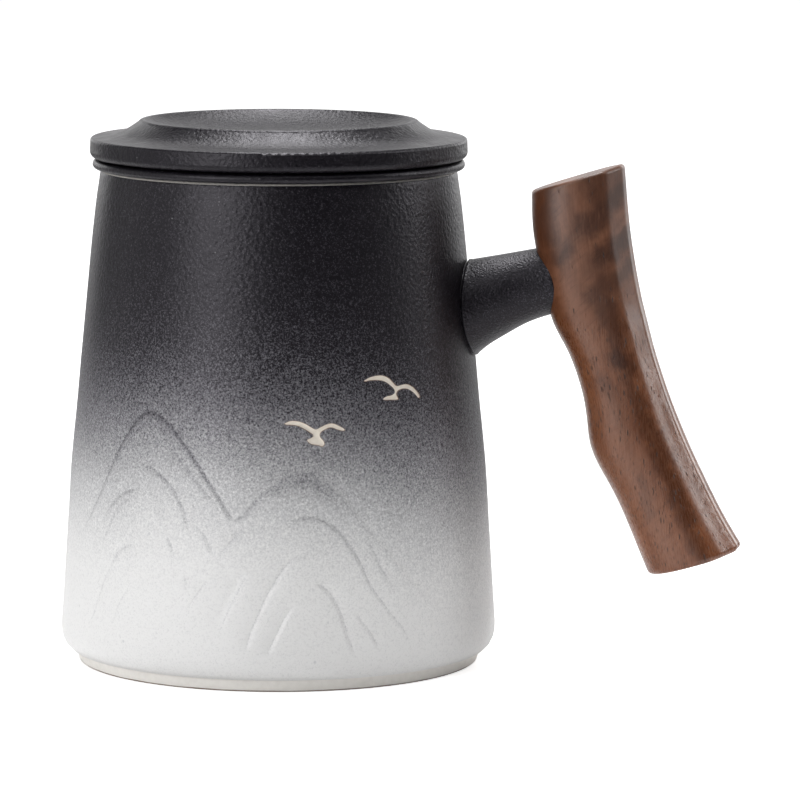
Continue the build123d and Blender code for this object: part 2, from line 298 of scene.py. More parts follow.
def cut_edge(name):
    """Where the knife went through the glaze: clay stained brown by it."""
    n = Nodes(name)
    vec = n.coord()
    tone = n.colours(n.noise(vec, 1500.0, 3.0, 0.6), [(0.3, (0.20, 0.125, 0.080)), (0.7, (0.42, 0.29, 0.20))])
    return n.set(color=tone, rough=0.7, normal=n.bump(n.noise(vec, 2600.0, 2.0, 0.6), 0.00002))


def mug_glaze(name):
    """Black spray over white: its cover thins from the top down, as a fine stipple."""
    n = Nodes(name)
    vec = n.coord()
    xyz = n.separate(vec)
    # height in mm above the middle of the fade, which lies lower towards the grip
    z = n.mul(xyz["Z"], 1000.0)
    mid = n.add(n.add(n.mul(xyz["X"], -145.0), n.mul(xyz["Y"], -167.0)), 41.1)
    mid = n.sub(mid, n.ramp(xyz["X"], -0.020, -0.034, 0.0, 3.0))
    mid = n.add(mid, n.mul(n.mul(n.ramp(xyz["X"], -0.001, 0.008), n.ramp(xyz["X"], 0.032, 0.020)), 1.2))
    drift = n.mul(centred(n, vec, 24.0, 2.0, 0.5), 9.0)
    u = n.add(n.sub(z, mid), drift)
    cover = n.colours(n.ramp(u, -35.0, 45.0, 0.0, 1.0, "LINEAR"), [
        (0.0, (1.0,) * 3), (0.125, (0.97,) * 3), (0.205, (0.91,) * 3), (0.284, (0.82,) * 3), (0.365, (0.68,) * 3),
        (0.4375, (0.50,) * 3), (0.525, (0.30,) * 3), (0.605, (0.165,) * 3), (0.684, (0.080,) * 3), (0.7625, (0.034,) * 3),
        (0.875, (0.012,) * 3), (1.0, (0.004,) * 3)])
    s = n.separate(cover)["X"]
    clot = n.ramp(n.noise(vec, 1300.0, 2.0, 0.6), 0.30, 0.70, 0.72, 1.28, "LINEAR")
    keep = n.sub(1.0, n.mul(n.mul(n.attr("pool"), clot), n.ramp(s, 0.55, 0.95, 1.0, 0.55)))
    keep = n.mul(keep, n.sub(1.0, n.mul(n.attr("thin"), 0.12)))
    s = n.mul(s, keep)
    # grain of the spray: fine everywhere, some coarser dots in the paler part
    fine = n.add(centred(n, vec, 4300.0, 1.0, 0.5), n.mul(centred(n, vec, 2100.0, 1.0, 0.5), 0.8))
    coarse = n.add(n.mul(centred(n, vec, 1700.0, 2.0, 0.6), 1.0), n.mul(centred(n, vec, 700.0, 2.0, 0.6), 0.35))
    grain = n.add(n.mul(fine, n.ramp(s, 0.4, 0.9, 1.0, 0.75)), n.mul(coarse, n.ramp(s, 0.15, 0.7, 0.15, 0.42)))
    amp = n.colours(s, [(0.0, (0.18,) * 3), (0.05, (0.50,) * 3), (0.15, (0.64,) * 3), (0.37, (0.86,) * 3), (0.62, (0.80,) * 3),
                        (0.80, (0.68,) * 3), (0.90, (0.52,) * 3), (1.0, (0.40,) * 3)])
    s2 = n.add(s, n.mul(grain, n.separate(amp)["X"]))
    pale = n.colours(s2, [
        (0.0, BLACK), (0.05, (0.040, 0.037, 0.045)), (0.2, (0.155, 0.152, 0.167)), (0.4, (0.316, 0.314, 0.327)),
        (0.7, (0.590, 0.590, 0.597)), (1.0, (0.900, 0.897, 0.890))])
    spot = n.voronoi(vec, 300.0, "F1", "Distance")
    keep = n.ramp(n.noise(vec, 120.0, 1.0, 0.5), 0.52, 0.62)
    fleck = n.mul(n.mul(n.ramp(spot, 0.13, 0.05), keep), n.ramp(s, 0.5, 0.9))
    pale = n.mix(n.mul(fleck, 0.30), pale, (0.36, 0.38, 0.42))
    tone = n.mix(n.ramp(s2, 0.008, 0.045, 0.0, 1.0, "LINEAR"), black_grit(n, vec), pale)
    r = n.ramp(s, 0.0, 1.0, 0.405, 0.53, "LINEAR")
    amp_h = n.mul(peel(n, vec), n.ramp(s, 0.2, 0.8, 1.0, 0.45))
    return n.set(color=tone, rough=r, normal=n.bump(amp_h, 0.00010), ior=GLAZE_IOR, tint=GLAZE_TINT)


def foot_clay(name):
    n = Nodes(name)
    vec = n.coord()
    z = n.mul(n.separate(vec)["Z"], 1000.0)
    tone = n.colours(n.noise(vec, 700.0, 3.0, 0.6), [(0.3, (0.91, 0.885, 0.845)), (0.7, (0.97, 0.945, 0.905))])
    edge = n.ramp(n.add(z, n.mul(n.noise(vec, 200.0, 2.0), 0.25)), 0.62, 0.28)
    tone = n.mix(edge, tone, (0.20, 0.12, 0.08))
    return n.set(color=tone, rough=0.6, normal=n.bump(n.noise(vec, 1800.0, 2.0, 0.6), 0.00002))


def inner_glaze(name):
    n = Nodes(name)
    vec = n.coord()
    tone = n.colours(n.noise(vec, 220.0, 3.0, 0.6), [(0.3, (0.70, 0.69, 0.665)), (0.7, (0.79, 0.78, 0.755))])
    spot = n.voronoi(vec, 260.0, "F1", "Distance")
    tone = n.mix(n.mul(n.ramp(spot, 0.12, 0.05), 0.35), tone, (0.40, 0.38, 0.34))
    return n.set(color=tone, rough=0.3, normal=n.bump(n.noise(vec, 420.0, 2.0, 0.5), 0.00003), ior=1.5)


M_BLACK = black_glaze("black_glaze", 0.5, 0.40, 0.00011, 1.05)
M_STUB = black_glaze("stub_glaze", 0.3, 0.44, 0.00014, 1.8, 2.0)
M_MUG = mug_glaze("mug_fade_glaze")
M_CLAY = bare_clay("bare_clay")
M_LIP = bare_clay("wiped_lip", (0.60, 0.57, 0.53), (0.72, 0.69, 0.65))
M_EDGE = cut_edge("cut_edge")
M_FOOT = foot_clay("foot_clay")
M_INNER = inner_glaze("inner_glaze")

# ------------------------------------------------------------------ mug body
OUTER = np.array([
    (46.3, 2.9), (47.05, 3.5), (47.75, 4.45), (48.2, 5.7), (48.4, 7.2), (48.3, 10.0), (48.0, 14.0), (47.55, 21.0), (47.1, 28.0),
    (46.6, 36.0), (46.05, 44.0), (45.4, 50.8), (44.67, 57.8), (43.86, 66.7), (43.0, 75.7), (42.17, 84.6), (41.33, 93.5),
    (40.33, 102.3), (39.6, 107.2)])
WALL = catmull(OUTER, 0.25)
WALL_V = np.concatenate([[0], np.cumsum(np.linalg.norm(np.diff(WALL, axis=0), axis=1))])
R0 = 45.0


def v_of_z(z):
    return np.interp(z, WALL[:, 1], WALL_V)


def wall_rz(v):
    return np.interp(v, WALL_V, WALL[:, 0]), np.interp(v, WALL_V, WALL[:, 1])


# Relief strokes: angle in degrees and height in mm. Each is the bottom of a carved
# groove. Left of the way a stroke runs, the groove rises softly back to the skin
# over "soft" mm, and on its other side it rises in a short "wall". "fade" gives the
# lengths over which it starts and ends, and "pool" how much dark glaze gathered in
# it, from its start to its end. "shift" moves the bottom of the groove to the left of
# the line, "spread" widens the pool, and "thin" scales the fine line at its edge.
RIDGE = {
    "ridge_left": dict(at=[(-150.6, 29.8), (-146.9, 32.9), (-141.7, 38.3), (-138.5, 42.3), (-135.7, 46.3), (-132.7, 50.5),
                           (-129.1, 54.7), (-125.5, 58.0), (-122.6, 59.4), (-120.6, 59.7), (-118.3, 59.1), (-114.8, 57.6),
                           (-111.4, 55.0), (-108.1, 52.2), (-105.0, 49.1), (-101.9, 45.8), (-98.4, 41.9), (-95.9, 38.7),
                           (-94.9, 37.4)], deep=0.22, soft=1.6, wall=0.9, fade=(9, 1), pool=(0.07, 0.14, 0.30, 0.58, 0.50, 0.42, 0.30)),
    "ridge_left_inner": dict(at=[(-113.1, 52.6), (-110.4, 49.9), (-107.2, 47.3), (-104.2, 44.7), (-101.8, 42.6), (-98.6, 39.6)],
                             deep=0.08, soft=0.7, wall=0.7, fade=(4, 5), pool=(0.14, 0.20, 0.20)),
    "left_arc": dict(at=[(-137.6, 34.3), (-134.7, 37.9), (-131.4, 40.4), (-127.5, 42.1), (-123.8, 42.7)],
                     deep=0.15, soft=1.5, wall=0.9, fade=(5, 3), pool=(0.14, 0.24, 0.24)),
    "left_arc_low": dict(at=[(-138.3, 28.6), (-135.5, 32.8), (-132.4, 37.0), (-129.3, 39.5), (-126.3, 41.0)],
                         deep=0.10, soft=0.9, wall=0.8, fade=(5, 3), pool=(0.06, 0.16)),
    "left_peak": dict(at=[(-124.3, 47.9), (-121.4, 48.0), (-119.3, 47.4), (-117.2, 46.7), (-114.5, 45.2), (-111.8, 43.0),
                          (-109.3, 39.7), (-107.3, 35.5), (-106.0, 32.1)],
                      deep=0.17, soft=1.8, wall=0.9, fade=(4, 7), pool=(0.16, 0.34, 0.22, 0.12)),
    "left_foot_arc": dict(at=[(-133.4, 24.9), (-130.7, 28.3), (-127.3, 30.0), (-124.1, 30.8)],
                          deep=0.16, soft=1.3, wall=0.8, fade=(4, 4), pool=(0.10, 0.20)),
    "left_foot_arc_r": dict(at=[(-114.9, 34.6), (-113.2, 32.5), (-111.9, 30.5), (-110.9, 27.9)],
                            deep=0.14, soft=1.2, wall=0.8, fade=(3, 4), pool=(0.17, 0.15)),
    "left_tick": dict(at=[(-104.2, 35.9), (-102.4, 33.6), (-100.9, 31.3), (-100.1, 29.6)],
                      deep=0.17, soft=1.4, wall=0.9, fade=(3, 3), pool=(0.22, 0.22)),
    "ridge_right": dict(at=[(-94.9, 37.4), (-92.9, 38.2), (-90.8, 39.9), (-88.7, 42.1), (-86.6, 43.6), (-83.9, 45.1), (-81.2, 46.4),
                            (-78.3, 47.4), (-75.3, 47.6), (-72.6, 47.2), (-69.9, 45.6)],
                        deep=0.17, soft=1.5, wall=0.9, fade=(1, 5), pool=(0.30, 0.28, 0.24, 0.20, 0.12)),
    "ridge_right_cloud": dict(at=[(-88.7, 41.6), (-86.0, 43.2), (-82.9, 44.6), (-79.9, 45.8), (-76.6, 46.3), (-73.5, 45.8),
                                  (-70.6, 44.4), (-67.6, 42.2), (-64.6, 39.6), (-61.8, 36.9)],
                              deep=0.02, soft=1.2, wall=1.2, fade=(5, 8), pool=(0.10, 0.20, 0.26, 0.24, 0.16, 0.12), spread=2.3,
                              thin=0.0),
    "ridge_right_flank": dict(at=[(-75.3, 47.6), (-72.6, 47.2), (-69.9, 45.6), (-67.2, 43.4), (-64.5, 41.0), (-62.0, 38.7),
                                  (-59.8, 36.2), (-57.2, 33.9), (-54.6, 31.6), (-51.7, 29.1), (-49.0, 26.1), (-45.9, 23.2),
                                  (-42.6, 20.5), (-39.2, 18.0), (-35.5, 15.9), (-31.0, 13.6)],
                              deep=0.26, soft=3.0, wall=1.3, shift=0.9, fade=(7, 12), pool=(0.10, 0.08, 0.05, 0.05, 0.05), thin=0.2),
    "right_arc": dict(at=[(-80.7, 37.0), (-78.6, 37.7), (-75.9, 38.2), (-73.5, 38.2), (-71.1, 37.6), (-68.4, 36.4), (-66.0, 34.6),
                          (-63.8, 32.3), (-61.7, 29.6), (-60.0, 27.0), (-58.4, 23.9), (-56.5, 21.4), (-54.2, 18.9),
                          (-51.6, 16.1), (-48.9, 13.5), (-47.2, 10.7), (-46.3, 8.6)],
                      deep=0.26, soft=2.0, wall=0.9, fade=(5, 5), pool=(0.16, 0.22, 0.16, 0.09, 0.07)),
    "right_mid": dict(at=[(-59.0, 34.3), (-57.6, 32.0), (-56.2, 29.4), (-54.5, 26.7), (-52.5, 23.9), (-50.5, 21.4)],
                      deep=0.20, soft=1.6, wall=1.2, fade=(4, 5), pool=(0.10, 0.12)),
    "centre_left": dict(at=[(-91.2, 8.8), (-90.7, 10.9), (-90.0, 13.1), (-88.7, 15.9), (-87.4, 18.5), (-85.9, 21.1), (-84.1, 23.7),
                            (-82.0, 26.5), (-79.9, 28.6), (-77.8, 29.9), (-75.5, 30.7)],
                        deep=0.45, soft=2.3, wall=1.0, fade=(4, 6), pool=(0.04, 0.07, 0.14)),
    "centre_left_low": dict(at=[(-85.8, 8.2), (-84.6, 10.6), (-83.0, 13.4), (-81.2, 16.4), (-79.4, 18.8), (-78.1, 20.2)],
                            deep=0.47, soft=2.2, wall=0.9, fade=(3, 5), pool=(0.03, 0.05)),
    "centre_right": dict(at=[(-74.0, 24.0), (-72.1, 23.7), (-70.3, 22.8), (-68.4, 20.9), (-66.9, 18.5), (-65.6, 15.8), (-64.6, 12.8),
                             (-63.3, 9.6), (-62.4, 7.6)],
                         deep=0.42, soft=1.7, wall=1.0, fade=(3, 4), pool=(0.08, 0.10, 0.06)),
    "right_low": dict(at=[(-62.8, 18.1), (-60.7, 15.6), (-58.5, 13.1), (-56.6, 10.4), (-55.7, 8.4)],
                      deep=0.28, soft=1.8, wall=0.9, fade=(4, 3), pool=(0.07, 0.07)),
    "far_left": dict(at=[(-142.4, 10.5), (-139.7, 14.6), (-138.1, 17.6), (-136.1, 21.1), (-134.1, 24.0), (-132.2, 26.2)],
                     deep=0.16, soft=1.6, wall=0.9, fade=(5, 4), pool=(0.03, 0.07)),
    "far_left_low": dict(at=[(-131.8, 12.2), (-130.1, 15.7), (-128.0, 18.9), (-125.2, 21.2)],
                         deep=0.16, soft=1.5, wall=0.9, fade=(4, 3), pool=(0.03, 0.05)),
    "mid_left": dict(at=[(-107.8, 16.7), (-105.9, 19.4), (-103.5, 22.3), (-101.0, 25.2)],
                     deep=0.20, soft=1.5, wall=0.9, fade=(4, 3), pool=(0.05, 0.08)),
    "mid_left_top": dict(at=[(-107.7, 21.7), (-107.8, 23.8), (-108.4, 25.9)],
                         deep=0.12, soft=1.1, wall=0.8, fade=(2, 2), pool=(0.20, 0.18)),
    "mid_soft": dict(at=[(-98.8, 11.1), (-97.8, 14.0), (-96.3, 17.0), (-95.0, 19.4), (-93.2, 22.3), (-91.7, 24.9), (-90.1, 27.9)],
                     deep=0.45, soft=2.6, wall=2.5, shift=1.2, fade=(6, 5), pool=(0.03, 0.06)),
    "valley": dict(at=[(-99.5, 28.7), (-97.6, 30.7), (-95.5, 32.7), (-93.4, 34.9), (-91.3, 36.3)],
                   deep=0.17, soft=1.3, wall=0.9, fade=(4, 3), pool=(0.13, 0.17)),
}


def other_side():
    """The range of hills goes on round the back, turned, mirrored and rescaled."""
    more = {}
    for key, st in RIDGE.items():
        flip = dict(st, at=[(-316.0 - a, 3.0 + (z - 3.0) * 0.93) for a, z in st["at"]][::-1],
                    fade=st["fade"][::-1], pool=st["pool"][::-1])
        more[key + "_b"] = flip
        if max(a for a, _ in st["at"]) < -94:
            more[key + "_c"] = dict(st, at=[(a - 208.5, 3.0 + (z - 3.0) * 0.84) for a, z in st["at"]])
        if key.startswith(("centre", "right_low")):
            more[key + "_d"] = dict(st, at=[(a - 242.0, 2.0 + (z - 2.0) * 0.95) for a, z in st["at"]])
    return more


BIRDS = [
    [(-81.20, 58.43), (-79.55, 58.98), (-77.35, 58.92), (-75.14, 58.30), (-73.49, 57.52), (-72.39, 57.12), (-71.26, 57.50),
     (-69.27, 58.15), (-67.56, 58.30), (-65.86, 57.75), (-64.10, 56.90), (-64.29, 56.50), (-66.18, 56.80), (-68.16, 57.32),
     (-69.87, 56.90), (-71.10, 56.25), (-71.16, 55.50), (-70.21, 54.59), (-69.95, 53.86), (-70.64, 53.32), (-71.91, 53.64),
     (-73.56, 53.84), (-74.38, 54.20), (-75.03, 54.85), (-73.81, 55.30), (-73.15, 55.75), (-74.34, 56.50), (-75.99, 57.30),
     (-77.63, 57.85), (-79.56, 58.05), (-80.82, 58.10)],
    [(-58.08, 67.05), (-56.38, 67.67), (-54.12, 68.00), (-51.83, 67.94), (-49.70, 67.19), (-48.25, 66.12), (-47.26, 65.47),
     (-45.47, 65.62), (-43.65, 65.66), (-41.83, 65.09), (-40.02, 63.98), (-38.76, 62.55), (-39.30, 62.25), (-41.22, 63.55),
     (-43.38, 64.48), (-45.55, 64.62), (-46.95, 64.25), (-47.38, 63.63), (-46.87, 62.56), (-49.56, 62.50), (-52.20, 62.72),
     (-52.05, 62.97), (-50.83, 63.42), (-49.13, 63.59), (-48.10, 64.04), (-48.25, 64.70), (-49.31, 65.52), (-51.26, 66.52),
     (-53.54, 66.93), (-56.10, 66.97), (-57.69, 66.80)],
]
COLS = 240
ROW_D = (0.08, -0.10, 0.24, -0.28, 0.42, -0.48, 0.64, -0.72, -1.0, 0.95, -1.4, 1.4, -2.0, 2.0, 2.9, 4.2)


def sv(points):
    """Angle and height to distances along the unrolled wall."""
    p = np.asarray(points, float)
    return np.column_stack([np.radians(p[:, 0]) * R0, v_of_z(p[:, 1])])


def stroke_height(pts, strokes):
    """Depth of the groove, dark pool and thin line at points of the unrolled wall."""
    depth, pool, thin = np.zeros(len(pts)), np.zeros(len(pts)), np.zeros(len(pts))
    for s in strokes:
        c = s["curve"]
        near = np.flatnonzero(
            (pts[:, 0] > c[:, 0].min() - 9) & (pts[:, 0] < c[:, 0].max() + 9)
            & (pts[:, 1] > c[:, 1].min() - 9) & (pts[:, 1] < c[:, 1].max() + 9))
        if not len(near):
            continue
        p = pts[near]
        a, b = c[:-1], c[1:]
        ab = b - a
        t = np.clip(((p[:, None, :] - a) * ab).sum(2) / (ab ** 2).sum(1), 0, 1)
        gap = p[:, None, :] - (a + t[..., None] * ab)
        dist = np.sqrt((gap ** 2).sum(2))
        k = dist.argmin(1)
        i = np.arange(len(p))
        d = dist[i, k] * np.sign(ab[k, 0] * gap[i, k, 1] - ab[k, 1] * gap[i, k, 0])
        share = (k + t[i, k]) / (len(c) - 1)
        along = share * s["length"]
        f0, f1 = s["fade"]
        fade = smooth(0, f0, along) * smooth(0, f1, s["length"] - along)
        fade = np.where((share <= 0) | (share >= 1), 0.0, fade)
        e = d - s.get("shift", 0.0)
        soft = np.exp(-(np.maximum(e - 0.1, 0) / s["soft"]) ** 1.2)
        g = np.where(e > 0.1, soft, smooth(-s["wall"], 0.1, e))
        depth[near] += s["deep"] * fade * g
        wide = np.where(d < -0.12, 0.62, 0.34) * s.get("spread", 1.0)
        at = np.interp(share, np.linspace(0, 1, len(s["pool"])), s["pool"])
        pool[near] = np.maximum(pool[near], fade ** 0.5 * at * np.exp(-(np.abs(d + 0.12) / wide) ** 2))
        line = s.get("thin", 1.0) * min(1.0, s["deep"] / 0.25)
        thin[near] = np.maximum(thin[near], fade * line * np.exp(-((d - 0.06) / 0.17) ** 2))
    return np.minimum(depth, 0.55), pool, thin


def build_mug():
    strokes = []
    for st in list(RIDGE.values()) + list(other_side().values()):
        c = catmull(sv(st["at"]), 0.5)
        strokes.append(dict(st, curve=c, length=np.linalg.norm(np.diff(c, axis=0), axis=1).sum()))
    s_lo, s_hi, v_hi = -2 * math.pi * R0, 0.0, WALL_V[-1]
    # points: borders first, then the birds' outlines, stroke rows and the plain grid
    pts, edges = [], []

    def ring(v):
        start = len(pts)
        for k in range(COLS + 1):
            pts.append((s_lo + (s_hi - s_lo) * k / COLS, v))
        return list(range(start, len(pts)))

    bottom, top = ring(0.0), ring(v_hi)
    vs = np.linspace(0, v_hi, 71)[1:-1]
    left, right = [], []
    for v in vs:
        left.append(len(pts)); pts.append((s_lo, v))
        right.append(len(pts)); pts.append((s_hi, v))
    for chain in (bottom, top, [bottom[0]] + left + [top[0]], [bottom[-1]] + right + [top[-1]]):
        edges += list(zip(chain[:-1], chain[1:]))
    loops = []
    for outline in BIRDS:
        o = respace(catmull(np.vstack([sv(outline), sv(outline)[:1]]), 0.2), 0.33, closed=True)
        t = np.roll(o, -1, 0) - np.roll(o, 1, 0)
        t /= np.linalg.norm(t, axis=1)[:, None]
        nrm = np.column_stack([t[:, 1], -t[:, 0]])          # outlines run clockwise
        inset = o + nrm * 0.10
        outset = o - nrm * 0.22
        pair = []
        for loop, keep in ((o, True), (inset, True), (outset, False)):
            ids = list(range(len(pts), len(pts) + len(loop)))
            pts += [tuple(p) for p in loop]
            if keep:
                edges += list(zip(ids, ids[1:] + ids[:1]))
                pair.append(loop)
        loops.append(pair)
    cells = {}

    def put(p, gap):
        if not (s_lo + 0.5 < p[0] < s_hi - 0.5 and 0.35 < p[1] < v_hi - 0.5):
            return
        key = (int(p[0] // 0.8), int(p[1] // 0.8))
        for i in (-1, 0, 1):
            for j in (-1, 0, 1):
                for q in cells.get((key[0] + i, key[1] + j), ()):
                    if (p[0] - q[0]) ** 2 + (p[1] - q[1]) ** 2 < gap * gap:
                        return
        cells.setdefault(key, []).append(p)
        pts.append(p)

    for p in list(pts):
        cells.setdefault((int(p[0] // 0.8), int(p[1] // 0.8)), []).append(p)
    for d in ROW_D:
        for s in strokes:
            c = s["curve"]
            t = np.gradient(c, axis=0)
            t /= np.linalg.norm(t, axis=1)[:, None]
            nrm = np.column_stack([-t[:, 1], t[:, 0]])
            if d > 2.4 * s["soft"] or d < -1.6 * s["wall"]:
                continue
            row = c + nrm * d
            gap = 0.10 if abs(d) < 0.5 else 0.2 if abs(d) < 1.1 else 0.42
            for p in row:
                put((float(p[0]), float(p[1])), gap)
    for j, v in enumerate(np.linspace(0, v_hi, 71)[1:-1]):
        for k in range(COLS):
            put((s_lo + (s_hi - s_lo) * (k + 0.5 * (j % 2)) / COLS, float(v)), 0.75)
    res = geometry.delaunay_2d_cdt([Vector(p) for p in pts], edges, [], 0, 1e-7)
    flat = np.array([(p.x, p.y) for p in res[0]])
    tris = np.array([f for f in res[2] if len(f) == 3], int)
    order = [ids[0] if ids else -1 for ids in res[3]]
    depth, pool, thin = stroke_height(flat, strokes)
    # birds: a shallow window in the glaze, with bare clay at its floor
    mid = flat[tris].mean(1)
    face_mat = np.zeros(len(tris), int)

    def inside(poly, q):
        x, y = q[:, 0], q[:, 1]
        hit = np.zeros(len(q), bool)
        a, b = poly, np.roll(poly, -1, 0)
        for (x0, y0), (x1, y1) in zip(a, b):
            if y0 == y1:
                continue
            cross = ((y0 > y) != (y1 > y)) & (x < (x1 - x0) * (y - y0) / (y1 - y0) + x0)
            hit ^= cross
        return hit

    for outline, inset in loops:
        face_mat[inside(outline, mid)] = 4
        face_mat[inside(inset, mid)] = 1
        within = inside(inset, flat)
        d2 = ((flat[:, None, :] - inset[None]) ** 2).sum(2).min(1) < 1e-6
        depth[within | d2] = 0.17
    r, z = wall_rz(flat[:, 1])
    ang = flat[:, 0] / R0
    wob = 0.03 * (np.sin(2 * ang + 1.1) + np.sin(3 * ang + z / 17.0)) - 0.06
    wob *= smooth(0, 12, flat[:, 1]) * smooth(0, 10, v_hi - flat[:, 1])
    r = r - depth * smooth(0.0, 1.2, flat[:, 1]) + wob
    verts = np.column_stack([r * np.cos(ang), r * np.sin(ang), z])
    # weld the seam
    src = {o: i for i, o in enumerate(order) if o >= 0}
    swap = np.arange(len(verts))
    for a, b in zip([bottom[0]] + left + [top[0]], [bottom[-1]] + right + [top[-1]]):
        swap[src[b]] = src[a]
    tris = swap[tris]
    verts = [tuple(v) for v in verts]
    pool, thin = list(pool), list(thin)
    faces = [tuple(int(i) for i in t) for t in tris]
    mats = list(face_mat)
    low = [int(swap[src[i]]) for i in bottom[:-1]]
    high = [int(swap[src[i]]) for i in top[:-1]]

    def rings(start, profile, mat, close=None):
        prev = start
        for r_, z_ in profile:
            cur = []
            for k in range(COLS):
                a_ = (s_lo + (s_hi - s_lo) * k / COLS) / R0
                cur.append(len(verts)); verts.append((r_ * math.cos(a_), r_ * math.sin(a_), z_))
            for k in range(COLS):
                q = (prev[k], prev[(k + 1) % COLS], cur[(k + 1) % COLS], cur[k])
                faces.append(q if close != "down" else q[::-1]); mats.append(mat)
            prev = cur
        if close is not None:
            c = len(verts); verts.append((0, 0, profile[-1][1]))
            for k in range(COLS):
                tri = (prev[k], prev[(k + 1) % COLS], c)
                faces.append(tri if close != "down" else tri[::-1]); mats.append(mat)

    # lip, inside wall and floor
    lip = [(39.53, 107.9), (39.43, 108.45), (39.28, 108.88), (39.22, 108.98), (39.10, 109.12), (38.88, 109.30), (38.55, 109.43),
           (38.2, 109.45), (37.3, 109.45), (36.95, 109.40), (36.62, 109.25), (36.42, 109.0), (36.3, 108.55)]
    inner = catmull(np.array([(36.3, 108.55), (36.55, 105.0), (37.0, 101.5), (38.3, 88.5), (39.5, 76.0), (41.3, 57.0), (42.8, 42.0),
                              (43.9, 27.0), (44.3, 16.0), (43.6, 11.2), (41.6, 7.3), (38.0, 5.6)]), 3.0)
    rings(high, lip[:3], 0)
    # the glaze is wiped off the top of the lip
    rings(list(range(len(verts) - COLS, len(verts))), lip[3:], 5)
    start = list(range(len(verts) - COLS, len(verts)))
    rings(start, [tuple(p) for p in inner[1:]] + [(30.0, 5.6), (18.0, 5.6), (6.0, 5.6)], 3, close="up")
    # foot
    foot = [(45.55, 2.88), (45.25, 2.80), (45.08, 2.60), (45.0, 2.35), (44.72, 1.2), (44.52, 0.5), (44.42, 0.22), (44.2, 0.05),
            (43.9, 0.0), (40.9, 0.0), (40.6, 0.06), (40.42, 0.22), (40.2, 0.9), (40.0, 1.3), (39.6, 1.47), (39.0, 1.5),
            (26.0, 1.5), (12.0, 1.5), (5.0, 1.5)]
    rings(low, foot, 2, close="down")
    verts_m = np.array(verts) * MM
    rest = [0.0] * (len(verts) - len(pool))
    ob = make_mesh("mug_shell", verts_m, faces, (M_MUG, M_CLAY, M_FOOT, M_INNER, M_EDGE, M_LIP), mats, True,
                   {"pool": ("FLOAT", pool + rest), "thin": ("FLOAT", thin + rest)})
    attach(ob, "mug")
    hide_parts("mug_body")
    return ob


mug = build_mug()


# ------------------------------------------------------------------ stub
STUB_O, STUB_TILT = (43.3, 79.1), math.radians(10.4)
STUB_SECTIONS = np.array([(-5.0, 11.55, -1.1), (-1.1, 10.5, 0.0), (1.9, 9.65, 0.85), (6.2, 8.8, 1.70), (11.5, 7.85, 2.62),
                          (16.6, 7.45, 3.05), (19.2, 7.42, 3.05)])


def build_stub():
    """The stub with the fine groove and bead where it was luted to the body."""
    curve = catmull(STUB_SECTIONS, 0.1)
    around = 128

    def ring_point(s_, psi, swell=0.0):
        r_ = np.interp(s_, curve[:, 0], curve[:, 1]) + swell
        rise = np.interp(s_, curve[:, 0], curve[:, 2]) + r_ * math.sin(psi)
        x_ = STUB_O[0] + s_ * math.cos(STUB_TILT) - rise * math.sin(STUB_TILT)
        z_ = STUB_O[1] + s_ * math.sin(STUB_TILT) + rise * math.cos(STUB_TILT)
        return x_, r_ * math.cos(psi), z_

    def clear(s_, psi):
        x_, y_, z_ = ring_point(s_, psi)
        return math.hypot(x_, y_) - np.interp(z_, WALL[:, 1], WALL[:, 0])

    root = []
    for k in range(around):
        psi = 2 * math.pi * k / around
        lo, hi = -5.0, 6.0
        for _ in range(30):
            m = (lo + hi) / 2
            lo, hi = (m, hi) if clear(m, psi) < 0 else (lo, m)
        root.append(lo)
    rows = [-0.55, -0.2, 0.0, 0.12, 0.24, 0.36, 0.5, 0.65, 0.8, 0.95, 1.1, 1.3, 1.6, 2.0]
    end = 18.7
    verts, faces = [], []
    for d in rows:
        groove = -0.50 * math.exp(-((d - 0.05) / 0.26) ** 2) + 0.12 * math.exp(-((d - 0.78) / 0.34) ** 2)
        for k in range(around):
            psi = 2 * math.pi * k / around
            wave = 0.03 * math.sin(5 * psi + 1.0) + 0.02 * math.sin(11 * psi)
            verts.append(ring_point(root[k] + d, psi, groove + wave * math.exp(-(d / 1.2) ** 2)))
    more = 34
    for j in range(1, more + 1):
        for k in range(around):
            psi = 2 * math.pi * k / around
            s_ = (root[k] + rows[-1]) + (end - root[k] - rows[-1]) * j / more
            dent = 0.035 * math.sin(2 * psi + 0.35 * s_) * math.sin(math.pi * j / more)
            verts.append(ring_point(s_, psi, dent))
    n_rows = len(rows) + more
    for j in range(n_rows - 1):
        for k in range(around):
            a_, b_ = j * around + k, j * around + (k + 1) % around
            faces.append((a_, b_, b_ + around, a_ + around))
    # the reduced tenon inside the grip
    start = (n_rows - 1) * around
    for s_, r_ in ((19.1, 7.35), (19.2, 7.05), (22.4, 7.05), (22.6, 6.9)):
        for k in range(around):
            psi = 2 * math.pi * k / around
            rise = 3.05 + r_ * math.sin(psi)
            verts.append((STUB_O[0] + s_ * math.cos(STUB_TILT) - rise * math.sin(STUB_TILT), r_ * math.cos(psi),
                          STUB_O[1] + s_ * math.sin(STUB_TILT) + rise * math.cos(STUB_TILT)))
        for k in range(around):
            a_, b_ = start + k, start + (k + 1) % around
            faces.append((a_, b_, b_ + around, a_ + around))
        start += around
    faces.append(tuple(start + k for k in range(around)))
    faces.append(tuple(reversed(range(around))))
    ob = make_mesh("stub", np.array(verts) * MM, faces, (M_STUB,))
    for p in ob.data.polygons[-2:]:
        p.use_smooth = False
    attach(ob, "mug")
    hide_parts("handle_stub")
    return ob


build_stub()

# ------------------------------------------------------------------ carried-over pieces
def paint(node, mat):
    me = NODES[node].data
    me.materials.clear()
    me.materials.append(mat)


paint("lid", M_BLACK)
paint("infuser_basket", M_BLACK)


GRAIN_LEAN = math.radians(5.0)


